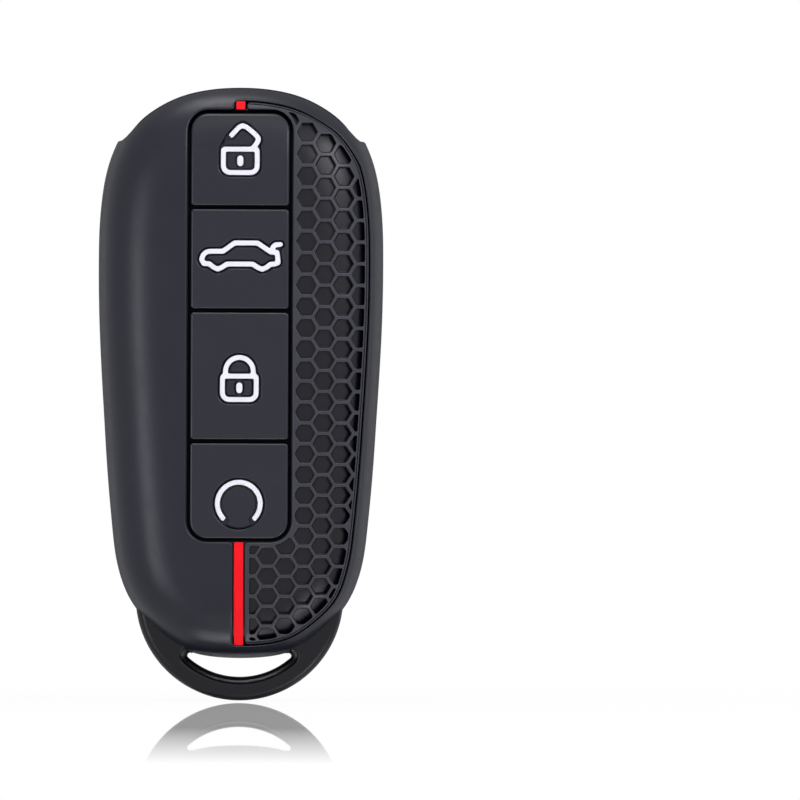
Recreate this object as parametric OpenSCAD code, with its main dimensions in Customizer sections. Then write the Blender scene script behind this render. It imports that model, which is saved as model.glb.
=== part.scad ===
// Soft sleeve that goes over a car key: two moulded half shells that meet on the parting plane,
// a honeycomb grip panel and a red line on each face, four sprung buttons with raised symbols,
// and a lanyard loop under the sleeve.
// X runs across the cover, Y from the front face to the back face, and Z from the loop to the mouth.

/* [Sleeve] */
// Width of the sleeve at its widest point
body_w = 46.5; // [44:0.5:50]
// Thickness from the front face to the back face
body_t = 19.2; // [18:0.2:22]
// Distance from the rim over which a face rolls off
roll_run = 12; // [10.5:0.5:12.5]
// Wall of the sleeve
wall = 2; // [1.8:0.1:2.4]

/* [Mouth] */
// Width of the mouth from front lip to back lip
mouth_w = 10; // [8:0.5:11]
// Depth of the mouth below the crown of the outline
mouth_drop = 10.6; // [9:0.1:12]
// Radius of the corners at the bottom of the mouth
mouth_round = 3.5; // [2:0.1:4]

/* [Lanyard loop] */
// Outer radius of the loop
loop_r = 17; // [15.5:0.5:17]
// Thickness of the loop, front to back
loop_t = 6.4; // [5:0.2:8]
// Band of the loop below the slot
loop_band = 3.7; // [3:0.1:5]
// Height of the slot at its middle
slot_h = 3.2; // [2.5:0.1:4]
// Radius of the slot's lower edge
slot_r = 12.7; // [12:0.1:13.5]
// Width of the bevel around the slot
slot_bevel = 1.7; // [0.8:0.1:2.2]
// Rounding of the loop's outer edge
loop_round = 1.4; // [0.8:0.1:2]

/* [Buttons] */
// Width of the button pads
pad_w = 16; // [14:0.2:17]
// Length of the unlock pad
unlock_l = 15; // [13.5:0.1:16]
// Length of the trunk pad
trunk_l = 16.2; // [14:0.1:17]
// Length of the lock pad
lock_l = 20.7; // [16:0.1:21.5]
// Length of the start pad
start_l = 15.5; // [14:0.1:16.5]
// Gap around and between the pads
pad_gap = 0.62; // [0.4:0.02:0.8]
// Corner radius at the two ends of the row of pads
pad_corner = 2.8; // [1.5:0.1:3.5]
// Small corner radius where pads face each other
pad_notch = 0.5; // [0.2:0.05:0.8]
// Distance from the crown of the outline to the button window
window_drop = 4.9; // [4.4:0.1:6]
// Distance from the button window to the base of the outline
window_rise = 19; // [17:0.5:23]
// How far a pad stands out of the inside of the wall, to reach the key's own button
pad_nub = 0.3; // [0.1:0.05:0.6]
// Thickness of the web at the bottom of the gap around the pads
web_t = 0.5; // [0.3:0.05:0.7]
// Clearance between a pad and the web
web_gap = 0.1; // [0.05:0.01:0.2]

/* [Symbols] */
// Width of a symbol's stroke
stroke = 0.85; // [0.6:0.05:1]
// Depth of the recess that a symbol stands in
recess_depth = 0.4; // [0.25:0.05:0.6]
// How far a symbol's top lies under the face of its pad
symbol_sink = 0.06; // [0:0.02:0.12]
// Space between a symbol and the edge of its recess
recess_gap = 0.3; // [0.2:0.05:0.4]
// Width of a padlock symbol
padlock_w = 6.3; // [5:0.1:7]
// Height of a padlock symbol's body
padlock_h = 4.6; // [4:0.1:5]
// Length of the car symbol
car_l = 12.5; // [11:0.1:13]
// Height of the car symbol
car_h = 4.3; // [3.5:0.1:5]
// Radius of the start symbol's ring
ring_r = 3.5; // [3:0.1:4]

/* [Red lines] */
// Width of the red lines
line_w = 1.64; // [1.2:0.04:2]
// Depth of the groove that holds a red line
line_depth = 0.6; // [0.4:0.05:0.8]
// How far a red line lies under the face
line_sink = 0.08; // [0:0.02:0.15]
// Gap on each side of a red line
line_gap = 0.16; // [0.1:0.02:0.25]

/* [Grip panels] */
// Distance from the rim to the edge of a grip panel
panel_margin = 2.1; // [1.8:0.1:3]
// The same distance near the mouth
panel_margin_top = 3.45; // [3:0.05:4]
// Depth of the recess that holds a grip panel
panel_depth = 1.25; // [1:0.05:1.5]
// How far a grip panel lies under the face
panel_sink = 0.12; // [0.05:0.01:0.2]
// Plain border around the honeycomb
panel_border = 0.72; // [0.4:0.02:1]
// Spacing of the honeycomb's columns at the mouth
column_pitch = 3.03; // [2.6:0.01:3.6]
// Spacing of the honeycomb's rows at the mouth
row_pitch = 3.63; // [3:0.01:4]
// What each row's spacing loses to the row above it
row_tighten = 0.017; // [0:0.001:0.02]
// Ridge between two cells
ridge = 0.72; // [0.5:0.02:0.9]
// Depth of the cells under the face
cell_depth = 0.85; // [0.5:0.05:0.95]

/* [Hidden] */

// Overrun of a cutting solid past the face that it cuts
over = 1;
half_w = body_w / 2;
half_t = body_t / 2;
// Where a raised drawing starts: above the parting plane, and under every face
cut_base = half_t / 8;
base_z = loop_band + slot_h;

// Window for the pads, and the length of the outline around it, before the mouth is cut
pad_count = 4;
window_l = start_l + lock_l + trunk_l + unlock_l + (pad_count + 1) * pad_gap;
body_l = window_rise + window_l + window_drop;
crown_z = base_z + body_l;
window_base = base_z + window_rise;
window_top = window_base + window_l;
start_z = window_base + pad_gap;
lock_z = start_z + start_l + pad_gap;
trunk_z = lock_z + lock_l + pad_gap;
unlock_z = trunk_z + trunk_l + pad_gap;
panel_x = line_w / 2 + line_gap;

// Right half of the rim from the base to the crown: share of the half width, share of the length
rim_shares = [
    [0, 0], [0.262, 0.0048], [0.447, 0.0212], [0.602, 0.0508], [0.727, 0.0847],
    [0.806, 0.1186], [0.869, 0.1706], [0.905, 0.2447], [0.935, 0.3295], [0.957, 0.4142],
    [0.978, 0.499], [0.994, 0.5837], [1, 0.6684], [0.994, 0.7532], [0.959, 0.8273],
    [0.89, 0.8824], [0.774, 0.9311], [0.615, 0.9629], [0.426, 0.9852], [0.215, 0.9968], [0, 1],
];
// Points that the smooth curve gets between two of the points above
span_steps = 2;
// Angles of the rings that build a face up from the rim, and the power of their profile
roll_turns = [0, 16, 32, 48, 64, 78, 90];
roll_power = 2.3;

// Honeycomb: where its columns start, and how they draw in to the base
first_column_share = 0.655;
cell_columns = 8;
cell_rows = 28;
cell_rows_above = 5;
pinch_share = 0.05;
hexagon_shares = [[1, 0], [0.5, 1], [-0.5, 1], [-1, 0], [-0.5, -1], [0.5, -1]];

// Car symbol with its boot lid up: shares of its length and height, nose to the left
car_shares = [
    [0, 0.37], [0.02, 0.54], [0.055, 0.64], [0.1, 0.68], [0.28, 0.68], [0.43, 1], [0.73, 1],
    [0.9, 0.66], [0.985, 0.65], [1, 0.26], [0.955, 0.2], [0.9, 0.2], [0.85, 0.075], [0.79, 0],
    [0.73, 0.075], [0.67, 0.2], [0.33, 0.2], [0.27, 0.075], [0.21, 0], [0.15, 0.09],
    [0.1, 0.21], [0.03, 0.21],
];
lid_shares = [[0.92, 0.72], [0.93, 0.85], [0.965, 0.94], [1.03, 0.95]];
// Open shackle of the unlock symbol, from its free end: shares of the padlock's width
shackle_shares = [
    [-0.275, 0.275], [-0.023, 0.505], [0.078, 0.555], [0.177, 0.505],
    [0.436, 0.257], [0.47, 0.184], [0.452, 0.112], [0.371, 0],
];
// Sizes inside the padlock symbols, as shares of the padlock's width
keyhole_w_share = 0.16;
keyhole_h_share = 0.28;
padlock_corner_share = 0.17;
shackle_r_share = 0.36;
// Half angle of the gap at the bottom of the start symbol's ring
ring_gap_angle = 42;
// Height of each symbol in its pad, as a share of the pad's length
unlock_symbol_share = 0.33;
trunk_symbol_share = 0.395;
lock_symbol_share = 0.295;
start_symbol_share = 0.355;

soft_dark = [0.16, 0.17, 0.2];
soft_black = [0.12, 0.12, 0.14];
line_red = [0.9, 0.07, 0.09];
symbol_white = [0.95, 0.95, 0.98];

$fn = 32;

// Smooth closed curve through the rim's points
function mirrored(half) = concat(half, [for (i = [len(half) - 2:-1:1]) [-half[i][0], half[i][1]]]);
function spline(p, q, r, s, t) =
    (2 * q + (r - p) * t + (2 * p - 5 * q + 4 * r - s) * t ^ 2 + (3 * q - p - 3 * r + s) * t ^ 3) / 2;
function rim_share(loop, i, t) =
    let (n = len(loop))
    spline(loop[(i + n - 1) % n], loop[i], loop[(i + 1) % n], loop[(i + 2) % n], t);
rim = [
    for (i = [0:len(mirrored(rim_shares)) - 1])
        for (k = [0:span_steps - 1])
            let (share = rim_share(mirrored(rim_shares), i, k / span_steps))
            [share[0] * half_w, base_z + share[1] * body_l]
];
function outward(before, after) = [after[1] - before[1], before[0] - after[0]] / norm(after - before);
rim_out = [
    for (i = [0:len(rim) - 1])
        outward(rim[(i + len(rim) - 1) % len(rim)], rim[(i + 1) % len(rim)])
];
function inset_rim(depth) = [for (i = [0:len(rim) - 1]) rim[i] - depth * rim_out[i]];
// How deep a point lies inside the rim
function depth_at(point) = min([for (i = [0:len(rim) - 1]) rim_out[i] * (rim[i] - point)]);

// Margin of the grip panels at a height: it widens towards the mouth
function ramp(value, low, high) = min(1, max(0, (value - low) / (high - low)));
function margin_at(z) =
    panel_margin + (panel_margin_top - panel_margin) * ramp((z - base_z) / body_l, 0.81, 0.93);
function panel_edge(extra) = [
    for (i = [0:len(rim) - 1])
        rim[i] - (margin_at(rim[i][1]) + extra) * rim_out[i]
];

// Half of the pillow-shaped body, depth under its surface, from the parting plane outward along +Y
module pillow(depth, past = 0) {
    n = len(rim);
    start = past > 0 ? [[depth, -past]] : [];
    rolled = [
        for (turn = roll_turns)
            [depth + (roll_run - depth) * (1 - cos(turn) ^ (2 / roll_power)),
             (half_t - depth) * sin(turn) ^ (2 / roll_power)]
    ];
    rings = concat(start, rolled);
    points = [for (ring = rings) for (p = inset_rim(ring[0])) [p[0], ring[1], p[1]]];
    base = [for (i = [n - 1:-1:0]) i];
    cap = [for (i = [0:n - 1]) (len(rings) - 1) * n + i];
    sides = [
        for (j = [0:len(rings) - 2])
            for (i = [0:n - 1])
                let (k = (i + 1) % n)
                each [
                    [j * n + i, j * n + k, (j + 1) * n + k],
                    [j * n + i, (j + 1) * n + k, (j + 1) * n + i],
                ]
    ];
    polyhedron(points, concat([base], sides, [cap]));
}

// A drawing in X and Z, raised along Y
module along_y(low, high) {
    translate([0, high, 0])
        rotate([90, 0, 0])
            linear_extrude(high - low) children();
}

// What a drawing covers between two depths under the face
module inlay(top_depth, floor_depth) {
    difference() {
        intersection() {
            along_y(cut_base, half_t + over) children();
            pillow(top_depth);
        }
        pillow(floor_depth, over);
    }
}

// What a drawing takes out of the face, down to a depth
module sunk(floor_depth) {
    difference() {
        along_y(0, half_t + over) children();
        pillow(floor_depth, over);
    }
}

// The front pieces are made face up like the back ones, then turned to the front
module to_front() {
    mirror([0, 1, 0]) children();
}

// Mouth between the two lips, with a round-cornered bottom that shows on both sides of the sleeve
module mouth() {
    rotate([90, 0, 90])
        linear_extrude(body_w + over, center = true)
            soft_rect(mouth_w, crown_z - mouth_drop, crown_z + mouth_drop, mouth_round, mouth_round);
}

// Rounded rectangle between two heights, with its own radius at each end
function arc(x, z, r, from) = [for (a = [0:15:90]) [x + r * cos(from + a), z + r * sin(from + a)]];
module soft_rect(width, low, high, low_r, high_r) {
    polygon(concat(
        arc(width / 2 - high_r, high - high_r, high_r, 0),
        arc(-width / 2 + high_r, high - high_r, high_r, 90),
        arc(-width / 2 + low_r, low + low_r, low_r, 180),
        arc(width / 2 - low_r, low + low_r, low_r, 270)
    ));
}

module window_shape(extra = 0) {
    soft_rect(
        pad_w + 2 * (pad_gap + extra), window_base - extra, window_top + extra,
        pad_corner + pad_gap + extra, pad_corner + pad_gap + extra
    );
}

// Drawing of a grip panel, extra inside its edges
module panel_shape(extra, has_window) {
    difference() {
        intersection() {
            polygon(panel_edge(extra));
            translate([panel_x + extra, 0])
                square([body_w, crown_z]);
        }
        if (has_window) window_shape(extra);
    }
}

module line_shape(width, low, high) {
    intersection() {
        polygon(panel_edge(0));
        translate([-width / 2, low])
            square([width, high - low]);
    }
}

module half_shell(has_window) {
    difference() {
        pillow(0);
        pillow(wall, over);
        mouth();
        sunk(panel_depth) panel_shape(0, has_window);
        sunk(line_depth) line_shape(2 * panel_x, 0, crown_z);
        if (has_window) along_y(0, half_t + over) window_shape();
    }
}

// Honeycomb cells: rows close up towards the base, and every other column stands half a row lower
function row_z(k) = crown_z - mouth_drop - row_pitch * k + row_tighten / 2 * k ^ 2;
function cell_place(column, row) =
    let (step = row + (column % 2 == 0 ? 0.5 : 0))
    let (z = (row_z(step) + row_z(step + 1)) / 2)
    let (drawn_in = 1 - pinch_share * ((crown_z - z) / body_l) ^ 2)
    [(first_column_share + column) * column_pitch * drawn_in, z, row_z(step) - row_z(step + 1)];

module cell_shape(place) {
    across = (place[2] - ridge) / 2;
    along = column_pitch * 2 / 3 - ridge / 2 / cos(30);
    translate([place[0], place[1]])
        polygon([for (s = hexagon_shares) [s[0] * along, s[1] * across]]);
}

module cells_shape(has_window) {
    intersection() {
        panel_shape(panel_border, has_window);
        for (column = [0:cell_columns - 1])
            for (row = [-cell_rows_above:cell_rows]) {
                place = cell_place(column, row);
                inside = depth_at([place[0], place[1]]) - margin_at(place[1]);
                if (inside > panel_border / 2) cell_shape(place);
            }
    }
}

module grip_panel(has_window) {
    difference() {
        inlay(panel_sink, panel_depth) panel_shape(0, has_window);
        sunk(cell_depth) cells_shape(has_window);
    }
}

// Symbols, drawn with their lower middle at the origin
module outline_stroke() {
    difference() {
        offset(r = stroke / 2) children();
        offset(r = -stroke / 2) children();
    }
}

module path_stroke(points) {
    for (i = [0:len(points) - 2])
        hull() {
            translate(points[i]) circle(d = stroke, $fn = 20);
            translate(points[i + 1]) circle(d = stroke, $fn = 20);
        }
}

module padlock_line() {
    corner = padlock_corner_share * padlock_w;
    soft_rect(padlock_w - stroke, stroke / 2, padlock_h - stroke / 2, corner, corner / 4);
}

module keyhole_shape() {
    slot_w = keyhole_w_share * padlock_w;
    slot_l = keyhole_h_share * padlock_w;
    translate([0, padlock_h / 2])
        soft_rect(slot_w, -slot_l / 2, slot_l / 2, slot_w / 2, slot_w / 2);
}

function scaled(shares, width, height) = [for (s = shares) [s[0] * width, s[1] * height]];
function open_shackle() =
    [for (s = shackle_shares) [s[0] * padlock_w, padlock_h - stroke / 2 + s[1] * padlock_w]];
function shackle_z() = padlock_h - stroke / 2;
function car_points() = [for (p = scaled(car_shares, car_l, car_h)) p - [car_l / 2, 0]];
function lid_points() = [for (p = scaled(lid_shares, car_l, car_h)) p - [car_l / 2, 0]];

module unlock_shape() {
    outline_stroke() padlock_line();
    path_stroke(open_shackle());
}

module unlock_recess() {
    offset(r = stroke / 2 + recess_gap) {
        padlock_line();
        polygon(concat([[(stroke - padlock_w) / 2, shackle_z()]], open_shackle()));
    }
}

module trunk_shape() {
    outline_stroke() polygon(car_points());
    path_stroke(lid_points());
}

module trunk_recess() {
    offset(r = stroke / 2 + recess_gap) polygon(car_points());
    offset(r = recess_gap) path_stroke(lid_points());
}

// Round shackle of the closed padlock, filled out to a radius
module shackle_disc(radius) {
    translate([0, shackle_z()]) {
        translate([0, stroke]) circle(r = radius);
        translate([-radius, -stroke / 2]) square([2 * radius, stroke * 3 / 2]);
    }
}

module lock_shape() {
    shackle_r = shackle_r_share * padlock_w;
    outline_stroke() padlock_line();
    difference() {
        shackle_disc(shackle_r + stroke / 2);
        shackle_disc(shackle_r - stroke / 2);
        translate([-padlock_w / 2, 0])
            square([padlock_w, shackle_z()]);
    }
}

module lock_recess() {
    offset(r = stroke / 2 + recess_gap) padlock_line();
    shackle_disc(shackle_r_share * padlock_w + stroke / 2 + recess_gap);
}

module start_shape() {
    reach = 2 * ring_r;
    difference() {
        circle(r = ring_r + stroke / 2);
        circle(r = ring_r - stroke / 2);
        polygon([
            [0, 0],
            [-reach * tan(ring_gap_angle), -reach],
            [reach * tan(ring_gap_angle), -reach],
        ]);
    }
}

module start_recess() {
    circle(r = ring_r + stroke / 2 + recess_gap);
}

// A pad between two heights, with its symbol's recess as the child drawing
module pad(low, length, low_r, high_r, symbol_z) {
    to_front()
        difference() {
            inlay(0, wall + pad_nub) soft_rect(pad_w, low, low + length, low_r, high_r);
            sunk(recess_depth)
                translate([0, symbol_z]) children();
        }
}

module symbol(symbol_z) {
    to_front()
        inlay(symbol_sink, recess_depth)
            translate([0, symbol_z]) children();
}

unlock_symbol_z = unlock_z + unlock_symbol_share * unlock_l;
trunk_symbol_z = trunk_z + trunk_symbol_share * trunk_l;
lock_symbol_z = lock_z + lock_symbol_share * lock_l;
start_symbol_z = start_z + start_symbol_share * start_l;

module front_shell() {
    color(soft_dark) to_front() half_shell(true);
}

module back_shell() {
    color(soft_dark) half_shell(false);
}

module lanyard_loop() {
    slot_z = loop_band + slot_r;
    half_loop = loop_t / 2;
    color(soft_black)
        difference() {
            translate([0, 0, loop_r])
                rotate([90, 0, 0])
                    rotate_extrude($fn = 96)
                        polygon(concat(
                            [[0, -half_loop]],
                            arc(loop_r - loop_round, -half_loop + loop_round, loop_round, 270),
                            arc(loop_r - loop_round, half_loop - loop_round, loop_round, 0),
                            [[0, half_loop]]
                        ));
            translate([0, 0, slot_z])
                rotate([90, 0, 0]) {
                    cylinder(h = loop_t + over, r = slot_r, center = true, $fn = 96);
                    for (side = [0, 180])
                        rotate([side, 0, 0])
                            translate([0, 0, half_loop - slot_bevel])
                                cylinder(h = 2 * slot_bevel, r1 = slot_r, r2 = slot_r + 2 * slot_bevel, $fn = 96);
                }
            pillow(0);
            mirror([0, 1, 0]) pillow(0);
        }
}

module front_grip_panel() {
    color(soft_black) to_front() grip_panel(true);
}

module back_grip_panel() {
    color(soft_black) grip_panel(false);
}

module front_upper_line() {
    color(line_red) to_front()
        inlay(line_sink, line_depth) line_shape(line_w, window_top, crown_z);
}

module front_lower_line() {
    color(line_red) to_front()
        inlay(line_sink, line_depth) line_shape(line_w, 0, window_base);
}

module back_line() {
    color(line_red) inlay(line_sink, line_depth) line_shape(line_w, 0, crown_z);
}

// Thin web that closes the gap around the pads, flush with the inside of the wall
module button_web() {
    color(soft_black) to_front()
        difference() {
            inlay(wall - web_t, wall) window_shape();
            along_y(0, half_t)
                offset(delta = web_gap) {
                    soft_rect(pad_w, start_z, start_z + start_l, pad_corner, pad_notch);
                    soft_rect(pad_w, lock_z, lock_z + lock_l, pad_notch, pad_notch);
                    soft_rect(pad_w, trunk_z, trunk_z + trunk_l, pad_notch, pad_notch);
                    soft_rect(pad_w, unlock_z, unlock_z + unlock_l, pad_notch, pad_corner);
                }
        }
}

module button_unlock() {
    color(soft_dark)
        pad(unlock_z, unlock_l, pad_notch, pad_corner, unlock_symbol_z) unlock_recess();
}

module button_trunk() {
    color(soft_dark)
        pad(trunk_z, trunk_l, pad_notch, pad_notch, trunk_symbol_z) trunk_recess();
}

module button_lock() {
    color(soft_dark)
        pad(lock_z, lock_l, pad_notch, pad_notch, lock_symbol_z) lock_recess();
}

module button_start() {
    color(soft_dark)
        pad(start_z, start_l, pad_corner, pad_notch, start_symbol_z) start_recess();
}

module unlock_symbol() {
    color(symbol_white) symbol(unlock_symbol_z) unlock_shape();
}

module trunk_symbol() {
    color(symbol_white) symbol(trunk_symbol_z) trunk_shape();
}

module lock_symbol() {
    color(symbol_white) symbol(lock_symbol_z) lock_shape();
}

module start_symbol() {
    color(symbol_white) symbol(start_symbol_z) start_shape();
}

module unlock_keyhole() {
    color(symbol_white) symbol(unlock_symbol_z) keyhole_shape();
}

module lock_keyhole() {
    color(symbol_white) symbol(lock_symbol_z) keyhole_shape();
}

front_shell();
back_shell();
lanyard_loop();
front_grip_panel();
back_grip_panel();
front_upper_line();
front_lower_line();
back_line();
button_web();
button_unlock();
button_trunk();
button_lock();
button_start();
unlock_symbol();
trunk_symbol();
lock_symbol();
start_symbol();
unlock_keyhole();
lock_keyhole();
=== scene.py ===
"""Looks of the soft key cover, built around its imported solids. Plain numbers are millimetres."""
import math

import bmesh
import bpy
import numpy as np
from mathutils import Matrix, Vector
from mathutils.geometry import delaunay_2d_cdt


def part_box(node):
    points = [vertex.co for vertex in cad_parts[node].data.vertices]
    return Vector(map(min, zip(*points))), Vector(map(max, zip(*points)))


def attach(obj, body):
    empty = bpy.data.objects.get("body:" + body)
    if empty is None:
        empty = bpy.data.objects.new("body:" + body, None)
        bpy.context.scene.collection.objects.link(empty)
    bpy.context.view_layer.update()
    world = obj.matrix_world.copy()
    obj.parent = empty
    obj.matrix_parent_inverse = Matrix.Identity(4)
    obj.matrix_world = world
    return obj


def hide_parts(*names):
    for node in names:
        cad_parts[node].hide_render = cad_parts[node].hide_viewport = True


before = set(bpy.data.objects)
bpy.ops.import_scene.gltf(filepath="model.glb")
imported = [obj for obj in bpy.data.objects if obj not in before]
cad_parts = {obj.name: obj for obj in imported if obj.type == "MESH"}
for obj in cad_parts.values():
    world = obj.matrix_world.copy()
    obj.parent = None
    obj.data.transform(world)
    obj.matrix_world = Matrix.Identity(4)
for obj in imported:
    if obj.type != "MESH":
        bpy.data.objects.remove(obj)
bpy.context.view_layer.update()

scene = bpy.context.scene
MM = 0.001

# Camera, level with the picture's middle, and the front view left of it. The photograph leans a
# little, and looks at the front from slightly beside it.
SENSOR_W = 36
PICTURE_W = 800
# The front view's middle and foot in the photograph
MIDDLE_PX = 240.4
FOOT_PX = 701
PIXEL_SIZE = 0.1634
CAMERA_AWAY = 3000
CAMERA_ASIDE = 62
CAMERA_ROLL = -0.25
CLIP_START = 10
camera_x = (PICTURE_W / 2 - MIDDLE_PX) * PIXEL_SIZE
camera_z = (FOOT_PX - PICTURE_W / 2) * PIXEL_SIZE


def add_object(name, data):
    made = bpy.data.objects.new(name, data)
    scene.collection.objects.link(made)
    return made


lens = bpy.data.cameras.new("camera")
lens.sensor_width = SENSOR_W
lens.lens = SENSOR_W * CAMERA_AWAY / (PICTURE_W * PIXEL_SIZE)
lens.clip_start = CLIP_START * MM
camera = add_object("camera", lens)
camera.location = (CAMERA_ASIDE * MM, -CAMERA_AWAY * MM, camera_z * MM)
camera_turn = math.atan((CAMERA_ASIDE - camera_x) / CAMERA_AWAY)
camera.rotation_euler = (math.radians(90), math.radians(CAMERA_ROLL), camera_turn)
bpy.context.scene.camera = camera


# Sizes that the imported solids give

def node_box(name):
    return np.array(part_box(name)) / MM


PADS = ["unlock", "trunk", "lock", "start"]
pad_low, pad_high = ({name: node_box("button_" + name)[k][2] for name in PADS} for k in (0, 1))
PAD_HALF = node_box("button_lock")[1][0]
PAD_GAP = pad_low["trunk"] - pad_high["lock"]
WINDOW_TOP = pad_high["unlock"] + PAD_GAP
WINDOW_BASE = pad_low["start"] - PAD_GAP
HALF_W, HALF_T = node_box("back_shell")[1][:2]
BASE_Z = node_box("back_shell")[0][2]
LOOP_R, LOOP_HALF = node_box("lanyard_loop")[1][:2]

# Sizes of the sleeve that their boxes don't give
WINDOW_DROP = 4.9
CROWN_Z = WINDOW_TOP + WINDOW_DROP
BODY_L = CROWN_Z - BASE_Z
WALL = 2
# Roll of the sides: its reach from the rim, and its curve's power
ROLL_RUN = 12
ROLL_POWER = 2.3
# Mouth: half its opening, its depth under the crown, its corners' radius
MOUTH_HALF = 5
MOUTH_DROP = 9.95
MOUTH_ROUND = 2.4
# Pads: radius of the row's four outer corners and of all others, thickness
PAD_CORNER = 2.8
PAD_NOTCH = 0.5
PAD_T = 2.3
# Red line: half its groove, the wall beside it, half its own width
LINE_HALF = 0.82
LINE_GAP = 0.16
LINE_SIDE = 0.76
PANEL_X = LINE_HALF + LINE_GAP
# Grip panel: its margin from the rim, the one near the crown, and where that starts
PANEL_MARGIN = 2.1
PANEL_MARGIN_TOP = 3.45
MARGIN_START_SHARE = 0.86
MARGIN_RUN_SHARE = 0.1
# How far its lower corner bulges out, and at what height
CORNER_BULGE = 0.3
CORNER_Z = 15
CORNER_RUN = 4
# Depth of its bed, and how far its ridges lie under the face
PANEL_DEPTH = 1.25
PANEL_SINK = 0.12

# Right half of the rim from the base to the crown: share of the half width, share of the length
RIM_SHARES = [
    [0, 0], [0.262, 0.0048], [0.447, 0.0212], [0.602, 0.0508], [0.727, 0.0847],
    [0.806, 0.1186], [0.869, 0.1706], [0.905, 0.2447], [0.935, 0.3295], [0.957, 0.4142],
    [0.978, 0.499], [0.994, 0.5837], [1, 0.6684], [0.994, 0.7532], [0.959, 0.8273],
    [0.89, 0.8824], [0.774, 0.9311], [0.615, 0.9629], [0.426, 0.9852], [0.215, 0.9968], [0, 1],
]
# Steps between those points, smoothing passes, points in the end
RIM_FINE = 16
RIM_PASSES = 25
RIM_COUNT = 720


# Plane outlines, as arrays of points in X and Z

# Offsets: least divisor at a corner, least share that an edge keeps; tries where one would fold
# over, and the share left after each
LEAST_MITRE = 0.9
LEAST_EDGE_SHARE = 0.05
FOLD_TRIES = 40
FOLD_EASE_SHARE = 0.9
# Rounding: least points of an outline, points per round, smoothing passes
SOFTEN_LEAST = 24
SOFTEN_COUNT = 4
SOFTEN_PASSES = 8
# A straight run strays less than this; longest one, and longest where it bends with the face
STRAIGHT_WITHIN = 0.004
LONGEST = 0.9
LONGEST_BENT = 0.6
ARC_STEPS = 8
TINY = 1e-9
JOIN_WITHIN = 1e-6
CHUNK = 2000


def edges(loop):
    return np.roll(loop, -1, 0) - loop


def lengths(loop):
    return np.linalg.norm(edges(loop), axis=1)


def with_start(loop):
    """The outline with its first point once more at its end."""
    return np.vstack([loop, loop[:1]])


def even(loop, count):
    """The same outline with its points evenly spaced."""
    runs = np.concatenate([[0], np.cumsum(lengths(loop))])
    at = np.linspace(0, runs[-1], count, endpoint=False)
    return np.stack([np.interp(at, runs, axis) for axis in with_start(loop).T], 1)


def smooth(loop, passes):
    for _ in range(passes):
        loop = (np.roll(loop, 1, 0) + 2 * loop + np.roll(loop, -1, 0)) / 4
    return loop


def normals(loop):
    """Outward normals of an outline that runs anticlockwise."""
    ahead = edges(loop)
    ahead /= np.linalg.norm(ahead, axis=1)[:, None]
    both = ahead + np.roll(ahead, 1, 0)
    both /= np.linalg.norm(both, axis=1)[:, None]
    stretch = np.clip((both * ahead).sum(1), LEAST_MITRE, 1)[:, None]
    return np.stack([both[:, 1], -both[:, 0]], 1) / stretch


def offset(loop, distance):
    """An outline moved outwards, or inwards; less so where a tight corner would fold over."""
    ahead = edges(loop)
    least = LEAST_EDGE_SHARE * (ahead ** 2).sum(1)
    away = np.broadcast_to(np.ravel(distance), len(loop)).astype(float)
    out = normals(loop)
    for _ in range(FOLD_TRIES):
        moved = loop + away[:, None] * out
        folded = (edges(moved) * ahead).sum(1) < least
        if not folded.any():
            break
        away = np.where(folded | np.roll(folded, 1), away * FOLD_EASE_SHARE, away)
    return moved


def area(loop):
    x, z = loop.T
    return (x * np.roll(z, -1) - z * np.roll(x, -1)).sum() / 2


def thin(loop, longest):
    """Leaves out points that a straight run doesn't need, from the sharpest corner on."""
    start = int(np.argmax(np.linalg.norm(normals(loop), axis=1)))
    loop = np.roll(loop, -start, 0)
    kept, last = [0], 0
    whole = with_start(loop)
    for i in range(2, len(whole)):
        chord = whole[i] - whole[last]
        size = np.linalg.norm(chord)
        between = whole[last + 1:i] - whole[last]
        away = np.abs(between[:, 0] * chord[1] - between[:, 1] * chord[0]) / max(size, TINY)
        if away.max() > STRAIGHT_WITHIN or size > longest:
            kept.append(i - 1)
            last = i - 1
    return loop[kept]


def soften(loop, size, longest=LONGEST):
    """Rounds the corners of an outline, as a mould does."""
    count = max(SOFTEN_LEAST, math.ceil(lengths(loop).sum() / (size / SOFTEN_COUNT)))
    return thin(smooth(even(loop, count), SOFTEN_PASSES), longest)


def inside(points, *loops):
    """Whether each point has an odd number of the outlines' edges to its right."""
    starts = np.vstack(loops)
    ends = np.vstack([np.roll(loop, -1, 0) for loop in loops])
    odd = np.zeros(len(points), bool)
    for i in range(0, len(points), CHUNK):
        x, z = points[i:i + CHUNK, 0][:, None], points[i:i + CHUNK, 1][:, None]
        spans = (starts[:, 1] > z) != (ends[:, 1] > z)
        rise = ends[:, 1] - starts[:, 1]
        safe = np.where(rise == 0, 1, rise)
        cut = starts[:, 0] + (z - starts[:, 1]) * (ends[:, 0] - starts[:, 0]) / safe
        odd[i:i + CHUNK] = ((x < cut) & spans).sum(1) % 2 == 1
    return odd


def triangulate(loops, extra=()):
    """Triangles over the hull of some outlines and points; their points; and who each point was."""
    points, sides = [], []
    for loop in loops:
        first, count = len(points), len(loop)
        points.extend(loop)
        sides.extend((first + i, first + (i + 1) % count) for i in range(count))
    points.extend(extra)
    flat = [Vector((float(p[0]), float(p[1]))) for p in points]
    found = delaunay_2d_cdt(flat, sides, [], 0, JOIN_WITHIN, True)
    return np.array([v[:] for v in found[0]]), np.array(found[2]), found[3]


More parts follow.
